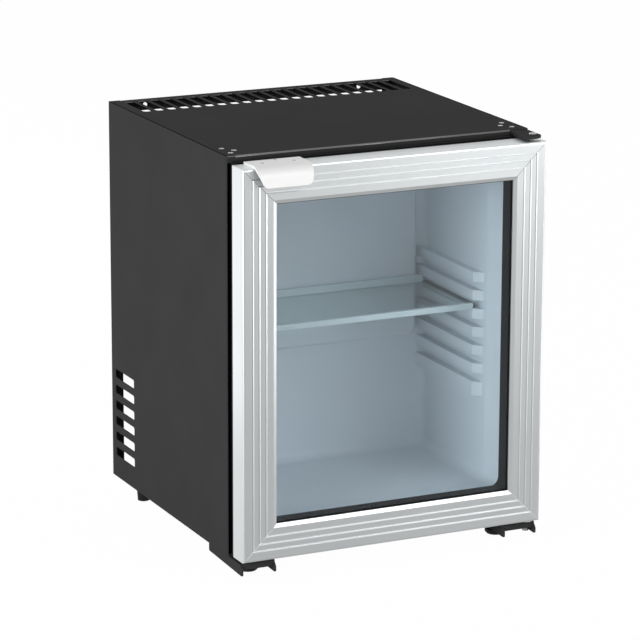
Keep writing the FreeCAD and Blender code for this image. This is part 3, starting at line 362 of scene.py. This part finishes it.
zinc = galvanised()
unit_paint = surface(
    "brushed_black_paint", ("#151516", "#1c1c1d"), (0.3, 0.5), grain_mm=3.0, relief_mm=0.08,
    IOR=POLYMER_IOR, Specular_IOR_Level=0.4,
)
mill = surface(
    "mill_aluminium", ("#b9bbbc", "#c4c6c7"), (0.28, 0.4), grain_mm=0.9, relief_mm=0.01,
    draw=ALONG_Z, Metallic=1.0,
)
dress(
    unit_paint, "condenser_tube", "boiler_tube", "absorber_vessel", "absorber_coil",
    "heat_exchanger_pipe",
)
dress(
    zinc, "rear_bulkhead", "boiler_sleeve", "boiler_brackets", "vessel_saddles",
    "heater_cartridge",
)
dress(mill, "condenser_fins", "evaporator_block")

# %% [markdown]
# ## Surfaces from arrays
# Most new pieces are grids of points with rows and columns. The columns always close into a
# ring. The rows either close too, as on a torus, or end in rings of no size, which weld to
# one point, as at the poles of a globe. So every piece is a closed skin, and its faces can
# be turned outwards by one call.

# %% Grid meshes
WELD_METRES = 1e-7


def closed_skin(name, points, faces, body, materials):
    """One object whose doubled points are welded and whose faces look outwards, on a body."""
    mesh = bpy.data.meshes.new(name)
    mesh.from_pydata(points, [], faces)
    skin = bmesh.new()
    skin.from_mesh(mesh)
    bmesh.ops.remove_doubles(skin, verts=skin.verts, dist=WELD_METRES)
    bmesh.ops.recalc_face_normals(skin, faces=skin.faces)
    skin.to_mesh(mesh)
    skin.free()
    for material in materials:
        mesh.materials.append(material)
    made = bpy.data.objects.new(name, mesh)
    bpy.context.scene.collection.objects.link(made)
    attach(made, body)
    print(name, "has", len(mesh.polygons), "faces")
    return made


def piece(name, grids, material, body, close_rows=False, smooth=True):
    """One object from several grids of one size (grid, row, column, xyz), riding on a body."""
    grids = np.asarray(grids, float)
    count, rows, columns, _ = grids.shape
    index = np.arange(rows * columns).reshape(rows, columns)
    index = np.concatenate([index, index[:, :1]], 1)
    if close_rows:
        index = np.concatenate([index, index[:1]], 0)
    corners = [index[:-1, :-1], index[:-1, 1:], index[1:, 1:], index[1:, :-1]]
    quads = np.stack([corner.ravel() for corner in corners], 1)
    quads = (quads[None] + np.arange(count)[:, None, None] * rows * columns).reshape(-1, 4)
    made = closed_skin(name, grids.reshape(-1, 3), quads, body, [material])
    made.data.polygons.foreach_set("use_smooth", np.full(len(made.data.polygons), smooth))


# %% [markdown]
# ## The roof sheet
# The photograph shows the roof's vent slots a little wider and longer than the CAD sheet
# has them, and the row closer set. So the roof is a new piece: the CAD points, with each
# slot's sides moved apart, its far end moved back and the row drawn together. The side
# walls of a slot are painted near-black as shade, and only the far end, which faces the
# light, is painted lighter grey as a glint. The ends of the CAD slots are measured from the
# roof's rear.

# %% Roof with wide slots
top_low, top_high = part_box("top_panel")
CAD_PITCH_MM, PITCH_MM, ROW_SHIFT_MM = 17.4, 17.12, 1.1
WIDEN_MM, LENGTHEN_MM = 1.35, 3.0
SLOT_NEAR_MM, SLOT_FAR_MM, SHEET_MM, SLACK_MM = 81.0, 18.0, 1.0, 0.1
SHARP_DEGREES, MOSTLY = 30, 0.5
WALL, FAR_END = 1, 2  # places in the roof's list of materials
# near-black: the roof's dark joints, and painted shade on the slot walls and in the door gap
joint_and_shade_black = surface(
    "open_joint_and_painted_shade", ("#050505", "#080808"), (0.9, 1.0), grain_mm=1.0, relief_mm=0.01,
    Specular_IOR_Level=0.0,
)
# lighter grey on the slots' far-end walls, which face the light: a painted glint
slot_end_glint = surface(
    "painted_glint_edge", ("#6e7173", "#787b7d"), (0.4, 0.5), grain_mm=1.0, relief_mm=0.01,
    Specular_IOR_Level=0.3,
)


def in_slots(points_mm, far_mm):
    """True for points on the rim of a slot: on the flat sheet, between the row's two ends."""
    behind = top_high.y / MM - points_mm[:, 1]
    flat = points_mm[:, 2] > top_high.z / MM - SHEET_MM - SLACK_MM
    return flat & (behind < SLOT_NEAR_MM + SLACK_MM) & (behind > far_mm - SLACK_MM)


def roof_sheet():
    """The CAD roof with its slots set to the photograph's pitch, width and length."""
    source = nodes["top_panel"].data
    flat = np.empty(3 * len(source.vertices))
    source.vertices.foreach_get("co", flat)
    points = flat.reshape(-1, 3) / MM
    rim = in_slots(points, SLOT_FAR_MM)
    x, y = points[rim, 0], points[rim, 1]
    number = np.round(x / CAD_PITCH_MM - 0.5) + 0.5
    offset = x - number * CAD_PITCH_MM
    widened = offset + WIDEN_MM * np.sign(offset.round(3))
    middle_y = top_high.y / MM - (SLOT_NEAR_MM + SLOT_FAR_MM) / 2
    points[rim, 0] = ROW_SHIFT_MM + number * PITCH_MM + widened
    points[rim, 1] = y + LENGTHEN_MM * (y > middle_y)
    faces = [tuple(face.vertices) for face in source.polygons]
    materials = [black_coat, joint_and_shade_black, slot_end_glint]
    made = closed_skin("roof_sheet", points * MM, faces, "cabinet", materials)
    mesh = made.data
    mesh.polygons.foreach_set("use_smooth", np.full(len(mesh.polygons), True))
    mesh.set_sharp_from_angle(angle=math.radians(SHARP_DEGREES))
    for face in mesh.polygons:
        middle = np.array([face.center]) / MM
        # slot side walls get painted shade, far ends that face the front get a painted glint
        if abs(face.normal.z) < MOSTLY and in_slots(middle, SLOT_FAR_MM - LENGTHEN_MM)[0]:
            face.material_index = FAR_END if face.normal.y < -MOSTLY else WALL
    return made


roof = roof_sheet()
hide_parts("top_panel")

# %% [markdown]
# ## Screws
# Six countersunk screws hold the top sheet to its corner plates, and three more hold the
# pull. A head is a disc of rings whose height falls off near the rim. Inside two crossed
# bars it drops into the driver's recess, and a last ring below closes it under the sheet.
# The sizes of the cross are shares of the head's radius.

# %% Cross-head screws
HEAD_RINGS = (0.0, 0.1, 0.2, 0.3, 0.4, 0.5, 0.6, 0.72, 0.84, 0.93, 1.0, 0.9, 0.0)
HEAD_SIDES, HEAD_POWER, ROOT_DEPTH = 48, 6, 1.2
CROSS_HALF, CROSS_FADE, CROSS_REACH, CROSS_END_FADE = 0.17, 0.05, 0.66, 0.08


def screw_heads(centres, radius_mm, crown_mm, recess_mm):
    """Polar grids: z is crown times (1 - r^6), less the recess where the cross is."""
    radius, crown, recess = radius_mm * MM, crown_mm * MM, recess_mm * MM
    angle = np.linspace(0, 2 * np.pi, HEAD_SIDES, endpoint=False)
    r, a = np.meshgrid(np.array(HEAD_RINGS), angle, indexing="ij")
    x, y = r * np.cos(a), r * np.sin(a)
    bar = np.minimum(np.abs(x), np.abs(y))
    cross = np.clip((CROSS_HALF - bar) / CROSS_FADE, 0, 1)
    cross = cross * np.clip((CROSS_REACH - r) / CROSS_END_FADE, 0, 1)
    z = crown * (1 - r**HEAD_POWER) - recess * cross
    z[-2:] = -ROOT_DEPTH * recess
    disc = np.stack([radius * x, radius * y, z], -1)
    return disc[None] + np.asarray(centres)[:, None, None, :]


screw_zinc = surface(
    "bright_zinc_plate", ("#9b9d9e", "#adafb0"), (0.22, 0.34), grain_mm=1.0, relief_mm=0.02,
    Metallic=1.0,
)
screw_steel = surface(
    "dull_steel", ("#5b5d5f", "#66686a"), (0.4, 0.5), grain_mm=1.0, relief_mm=0.02,
    Metallic=1.0,
)
dress(screw_zinc, "top_hinge_pin", "lower_hinge_pin")

LID_SCREWS_MM, LID_SUNK_MM = ((13.5, 17.0), (23.0, 29.0), (13.5, 43.5)), 0.05
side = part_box("right_side_panel")[1].x
lid_spots = [
    (sign * (side - inset * MM), top_low.y + depth * MM, top_high.z - LID_SUNK_MM * MM)
    for sign in (-1, 1)
    for inset, depth in LID_SCREWS_MM
]
lid_heads = screw_heads(lid_spots, radius_mm=3.3, crown_mm=0.5, recess_mm=0.9)
piece("lid_screws", lid_heads, screw_zinc, "cabinet")

PULL_SCREWS_MM, PULL_SUNK_MM = ((16.3, 17.0), (37.5, 5.5), (56.5, 17.5)), 0.1
pull_low, pull_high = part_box("door_handle")
pull_spots = [
    (pull_low.x + across * MM, pull_high.y - forward * MM, pull_high.z - PULL_SUNK_MM * MM)
    for across, forward in PULL_SCREWS_MM
]
pull_heads = screw_heads(pull_spots, radius_mm=2.2, crown_mm=0.2, recess_mm=0.8)
piece("pull_screws", pull_heads, screw_steel, "door")

# %% [markdown]
# ## Hairlines at the mitres
# The four bars of the door meet at 45 degrees, and each joint leaves a hairline that runs
# down the corner's diagonal and follows the bar's section, grooves and bevel included. At
# the two lower corners the hairlines are painted near-white as a highlight, and at the upper
# ones painted darker grey as shade. A line is one ribbon: a loop of offsets carried along a
# row of stations. All lines here and below are a little wider than life, so that they show
# in the render.

# %% Mitre seams
STRIP_HALF_MM, SEAM_HALF_MM = 0.04, 0.22
GROOVES_MM, GROOVE_HALF_MM, GROOVE_DEPTH_MM = (13.0, 21.3, 30.0), 1.2, 1.2
OUTER_EDGE_MM = [(0.9, 0.9), (2.0, 0.3), (4.0, 0.0)]
GLASS_BEVEL_MM = [(39.5, 0.0), (43.9, 1.95), (44.0, 2.0)]
grooves_mm = [
    (middle + share * GROOVE_HALF_MM, depth)
    for middle in GROOVES_MM
    for share, depth in ((-1, 0), (0, GROOVE_DEPTH_MM), (1, 0))
]
section_mm = OUTER_EDGE_MM + grooves_mm + GLASS_BEVEL_MM


def ribbon(stations, loop):
    """The loop of offsets at each station; it shrinks to a point at the first and the last."""
    stations = np.asarray(stations, float)
    size = np.ones(len(stations))
    size[[0, -1]] = 0
    return stations[:, None] + size[:, None, None] * np.asarray(loop, float)[None]


def flat_loop(across, out):
    """Four offsets of a thin strip: its half width across and its half thickness out."""
    across, out = np.asarray(across), np.asarray(out)
    return [across + out, -across + out, -across - out, across - out]


def mitre(x, sx, z, sz):
    """Hairline from the corner at x, z along the diagonal; sx and sz point into the door."""
    half = SEAM_HALF_MM * MM / math.sqrt(2)
    loop = flat_loop((sx * half, 0, -sz * half), (0, -STRIP_HALF_MM * MM, 0))
    diagonal = [
        (x + sx * inset * MM, door_low.y + sunk * MM, z + sz * inset * MM)
        for inset, sunk in section_mm
    ]
    return ribbon(diagonal, loop)


door_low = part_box("door_frame_left")[0]
door_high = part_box("door_frame_right")[1]
# upper hairlines: grey painted shade; lower hairlines: near-white painted highlight
seam_shade = surface(
    "painted_shade_joint", ("#6d7072", "#75787a"), (0.5, 0.6), grain_mm=1.0, relief_mm=0.01,
    Metallic=1.0,
)
seam_highlight = surface(
    "painted_highlight_joint", ("#e6e8e9", "#eeefef"), (0.4, 0.5), grain_mm=1.0, relief_mm=0.01,
    IOR=POLYMER_IOR,
)
for name, z, sz, material in (
    ("mitre_seams", door_high.z, -1, seam_shade),
    ("lower_mitre_seams", door_low.z, 1, seam_highlight),
):
    seams = [mitre(x, sx, z, sz) for x, sx in ((door_low.x, 1), (door_high.x, -1))]
    piece(name, seams, material, "door", smooth=False)

# %% [markdown]
# ## Dark joints and painted gap shade of the cabinet
# The roof sheet drops in between the side panels, which leaves a dark line along each side.
# The door stands a finger's width off the cabinet, and little light gets into that gap. A
# black strip of painted shade down the front fold of each side panel keeps it as dark as the
# photograph.

# %% Roof joints and painted shade at the door gap
ROOF_JOINT_MM, ROOF_JOINT_HALF_MM, ROOF_JOINT_END_MM = 1.2, 0.8, 3
# a black strip of painted shade in the gap between door and cabinet
DOOR_SHADE_MM, DOOR_SHADE_HALF_MM = 3.7, 2.2
DOOR_SHADE_FOOT_MM, DOOR_SHADE_HEAD_MM = 2, 8


def straight(start, end, loop):
    """A ribbon along one straight line, with flat ends."""
    return ribbon([start, start, end, end], loop)


panel_low, panel_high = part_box("left_side_panel")
roof_loop = flat_loop((ROOF_JOINT_HALF_MM * MM, 0, 0), (0, 0, STRIP_HALF_MM * MM))
roof_front = top_low.y + ROOF_JOINT_END_MM * MM
roof_rear = top_high.y - ROOF_JOINT_END_MM * MM
door_loop = flat_loop((DOOR_SHADE_HALF_MM * MM, 0, 0), (0, -STRIP_HALF_MM * MM, 0))
shade_foot = panel_low.z + DOOR_SHADE_FOOT_MM * MM
shade_head = panel_high.z - DOOR_SHADE_HEAD_MM * MM
roof_joints, door_gap_shade = [], []
for sign in (-1, 1):
    x = sign * (side - ROOF_JOINT_MM * MM)
    start, end = (x, roof_front, top_high.z), (x, roof_rear, top_high.z)
    roof_joints.append(straight(start, end, roof_loop))
    x = sign * (side - DOOR_SHADE_MM * MM)
    start, end = (x, panel_low.y, shade_foot), (x, panel_low.y, shade_head)
    door_gap_shade.append(straight(start, end, door_loop))
piece("roof_joints", roof_joints, joint_and_shade_black, "cabinet", smooth=False)
piece("door_gap_shade", door_gap_shade, joint_and_shade_black, "cabinet", smooth=False)

# %% [markdown]
# ## The shiny front fold
# The crest of the roof's front fold has a glossier coat than the flat, drawn in a lighter
# grey: the gloss catches the lamps, and the lighter grey is a painted highlight. The crest is
# a thin shell on the fold's arc, from the left side to the hinge plate. At the left corner a
# flat strip of the same coat carries the painted highlight across the front edge of the
# roof's ear.

# %% Crest of the fold and of the ear
FOLD_MM, PROUD_MM, ROOT_MM = 2.5, 0.03, 0.15
ARC_DEGREES, ARC_STEPS = (12, 72), 9
CREST_LEFT_MM, CREST_RIGHT_MM = 2, 8
EAR_MM, EAR_HALF_MM = 13.0, 0.5
# lighter than the black coat: a painted highlight, on top of a real gloss
crest_gloss_highlight = surface(
    "glossy_coat_painted_highlight", ("#58585a", "#606062"), (0.2, 0.26), grain_mm=1.6, relief_mm=0.002,
    IOR=POLYMER_IOR, Specular_IOR_Level=1.0,
)
slope = np.radians(np.linspace(*ARC_DEGREES, ARC_STEPS))
arc = np.stack([np.zeros(ARC_STEPS), -np.cos(slope), np.sin(slope)], 1)
shell = np.concatenate([(FOLD_MM + PROUD_MM) * arc, (FOLD_MM - ROOT_MM) * arc[::-1]]) * MM
shell_middle = shell.mean(0)
fold_axis = np.array([0, top_low.y + FOLD_MM * MM, top_high.z - FOLD_MM * MM])
crest_left = -side + CREST_LEFT_MM * MM
crest_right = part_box("top_hinge_bracket")[0].x + CREST_RIGHT_MM * MM
start, end = (fold_axis + shell_middle + (x, 0, 0) for x in (crest_left, crest_right))
piece("fold_crest", [straight(start, end, shell - shell_middle)], crest_gloss_highlight, "cabinet")

ear_z = top_high.z - EAR_HALF_MM * MM
start, end = ((x, top_low.y, ear_z) for x in (crest_left, -side + EAR_MM * MM))
ear_loop = flat_loop((0, 0, EAR_HALF_MM * MM), (0, -PROUD_MM * MM, 0))
piece("ear_crest", [straight(start, end, ear_loop)], crest_gloss_highlight, "cabinet", smooth=False)

# %% [markdown]
# ## Grommets
# Where the tubes leave the insulation, a rubber ring seals each hole in the bulkhead. A
# ring is a torus: a small circle carried round a larger one. It sits with its inner part
# pressed against the tube.

# %% Rubber rings on the bulkhead
TUBE_MM, DRAIN_MM = 8.0, 5.0
RING_MM, RING_GRIP, RING_OUT_MM = 2.2, 0.7, 0.8
TURN_STEPS, TUBE_STEPS = 40, 12


def torus(centre, radius, thickness):
    """Torus about the Y axis: (R + t cos b) turned by a, with t sin b along Y."""
    a, b = np.meshgrid(
        np.linspace(0, 2 * np.pi, TURN_STEPS, endpoint=False),
        np.linspace(0, 2 * np.pi, TUBE_STEPS, endpoint=False), indexing="ij",
    )
    reach = radius + thickness * np.cos(b)
    ring = np.stack([reach * np.cos(a), thickness * np.sin(b), reach * np.sin(a)], -1)
    return ring + np.asarray(centre)


condenser_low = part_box("condenser_tube")[0]
coil_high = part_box("absorber_coil")[1]
drain_low, drain_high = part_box("drain_tube")
exits = [
    (condenser_low.x + TUBE_MM * MM, condenser_low.z + TUBE_MM * MM, TUBE_MM),
    (coil_high.x - TUBE_MM * MM, coil_high.z - TUBE_MM * MM, TUBE_MM),
    ((drain_low.x + drain_high.x) / 2, drain_high.z - DRAIN_MM * MM, DRAIN_MM),
]
ring_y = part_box("rear_bulkhead")[1].y + RING_OUT_MM * MM
for number, (x, z, bore) in enumerate(exits, 1):
    ring = torus((x, ring_y, z), (bore + RING_MM * RING_GRIP) * MM, RING_MM * MM)
    piece(f"grommet_{number}", [ring], seal_black, "cabinet", close_rows=True)

# %% [markdown]
# ## Studio
# A product picture on white. The floor and the room are plain white to the eye, but every
# kind of ray gets its own strength. The light that falls on the fridge is a soft grey, and
# reflections see the floor in front of the door dimmer than the floor behind it, so the
# front of a bar looks grey beside its bright left face. The large lamps stand left, right,
# in front and behind. The three small ones stand where the front, the glass bevel and the
# door's left face mirror them to the camera.

# %% Floor, world and lamps
FLOOR_REACH, FLOOR_WHITE = 12.0, 0.985
SHEEN_FRONT, SHEEN_BEHIND = 0.56, 0.98
SHEEN_FRONT_Y, SHEEN_BEHIND_Y = -0.2, -0.12
AMBIENT, ROOM_SHEEN = 0.42, 0.9
MIDDLE = (0.0, 0.0, 0.25)
LAMPS = (  # name, place, aim, size in metres, watts
    ("left_lamp", (-2.3, -1.0, 0.6), MIDDLE, 1.2, 38),
    ("right_lamp", (2.2, -1.0, 0.35), MIDDLE, 1.0, 11),
    ("key_lamp", (1.0, -2.0, 1.6), MIDDLE, 1.0, 12),
    ("front_lamp", (1.0, -1.7, 0.5), (0.1, -0.2, 0.35), 0.5, 2.6),
    ("bevel_lamp", (0.75, -0.38, 0.06), (-0.15, -0.2, 0.22), 0.25, 0.4),
    ("rear_left_lamp", (-0.5, 0.42, 0.18), (-0.2, -0.18, 0.22), 0.5, 0.3),
    ("rear_lamp", (-0.6, 2.2, 1.6), (0.0, 0.2, 0.25), 1.0, 16),
)


def by_ray(tree, falls, mirrored, seen):
    """One value for rays that light, one for reflections, one for the eye, also through glass."""
    path = add(tree, "ShaderNodeLightPath").outputs
    eye = add(
        tree, "ShaderNodeMath",
        {MATH_A: path["Is Camera Ray"], MATH_B: path["Is Transmission Ray"]},
        operation="MAXIMUM",
    ).outputs[MATH_OUT]
    sheen = add(
        tree, "ShaderNodeMix",
        {"Factor": path["Is Glossy Ray"], VALUE_A: falls, VALUE_B: mirrored},
    ).outputs[VALUE_OUT]
    return add(
        tree, "ShaderNodeMix", {"Factor": eye, VALUE_A: sheen, VALUE_B: seen}
    ).outputs[VALUE_OUT]


def studio_floor():
    """Paper where light falls, white with a trace of shadow to the eye, a glow in reflections."""
    material, tree = blank_material("white_sweep")
    paper = add(
        tree, "ShaderNodeBsdfPrincipled",
        {"Base Color": colour("#f4f4f4"), "Roughness": 0.9, "Specular IOR Level": 0.0},
    )
    place = add(tree, "ShaderNodeTexCoord").outputs["Object"]
    depth = add(tree, "ShaderNodeSeparateXYZ", {"Vector": place}).outputs["Y"]
    sheen = add(
        tree, "ShaderNodeMapRange",
        {
            "Value": depth, "From Min": SHEEN_FRONT_Y, "From Max": SHEEN_BEHIND_Y,
            "To Min": SHEEN_FRONT, "To Max": SHEEN_BEHIND,
        },
    ).outputs["Result"]
    glow = add(
        tree, "ShaderNodeEmission",
        {"Color": colour("#ffffff"), "Strength": by_ray(tree, 1.0, sheen, 1.0)},
    )
    mix = add(
        tree, "ShaderNodeMixShader",
        {
            "Fac": by_ray(tree, 0.0, 1.0, FLOOR_WHITE),
            SHADER_A: paper.outputs["BSDF"], SHADER_B: glow.outputs["Emission"],
        },
    )
    add(tree, "ShaderNodeOutputMaterial", {"Surface": mix.outputs["Shader"]})
    return material


def studio_world():
    """White where it is seen, a soft grey where it lights, a little under white in reflections."""
    world = bpy.data.worlds.new("white_room")
    world.use_nodes = True
    tree = world.node_tree
    tree.nodes.clear()
    strength = by_ray(tree, AMBIENT, ROOM_SHEEN, 1.0)
    sky = add(tree, "ShaderNodeBackground", {"Color": colour("#ffffff"), "Strength": strength})
    add(tree, "ShaderNodeOutputWorld", {"Surface": sky.outputs["Background"]})
    bpy.context.scene.world = world


def soft_lamp(name, place, aim, size, power):
    """A square area lamp that faces a point."""
    lamp = bpy.data.lights.new(name, "AREA")
    lamp.size = size
    lamp.energy = power
    made = bpy.data.objects.new(name, lamp)
    made.location = place
    made.rotation_euler = (Vector(aim) - Vector(place)).to_track_quat("-Z", "Y").to_euler()
    bpy.context.scene.collection.objects.link(made)


floor_mesh = bpy.data.meshes.new("floor")
floor_corners = np.array([(-1, -1, 0), (1, -1, 0), (1, 1, 0), (-1, 1, 0)]) * FLOOR_REACH
floor_mesh.from_pydata(floor_corners.tolist(), [], [(0, 1, 2, 3)])
floor_mesh.materials.append(studio_floor())
floor = bpy.data.objects.new("floor", floor_mesh)
bpy.context.scene.collection.objects.link(floor)
studio_world()
for lamp in LAMPS:
    soft_lamp(*lamp)
print("studio lit by", len(LAMPS), "lamps")

# %% [markdown]
# ## Camera
# The photograph's view was fitted from the edges of the cabinet: it was taken from 25
# degrees left of the front and 15 degrees above, through a long lens, so the verticals
# hardly converge.

# %% Camera
AZIMUTH, ELEVATION, ROLL = (math.radians(degrees) for degrees in (-25.35, 14.71, 0.20))
PLACE = Vector((-1.7504, -3.6832, 1.3286))
FOCAL_PIXELS, IMAGE_PIXELS, SENSOR_MM = 3385.1, 640, 36.0
level = math.cos(ELEVATION)
back = Vector((math.sin(AZIMUTH) * level, -math.cos(AZIMUTH) * level, math.sin(ELEVATION)))
right = Vector((0, 0, 1)).cross(back).normalized()
up = back.cross(right)
turned_right = math.cos(ROLL) * right + math.sin(ROLL) * up
turned_up = math.cos(ROLL) * up - math.sin(ROLL) * right
lens = bpy.data.cameras.new("photo_view")
lens.sensor_width = SENSOR_MM
lens.lens = FOCAL_PIXELS * SENSOR_MM / IMAGE_PIXELS
camera = bpy.data.objects.new("photo_view", lens)
turn = Matrix((turned_right, turned_up, back)).transposed()
camera.matrix_world = Matrix.Translation(PLACE) @ turn.to_4x4()
bpy.context.scene.collection.objects.link(camera)
bpy.context.scene.camera = camera
bpy.context.scene.view_settings.view_transform = "Standard"
print("lens", round(lens.lens, 1), "mm")
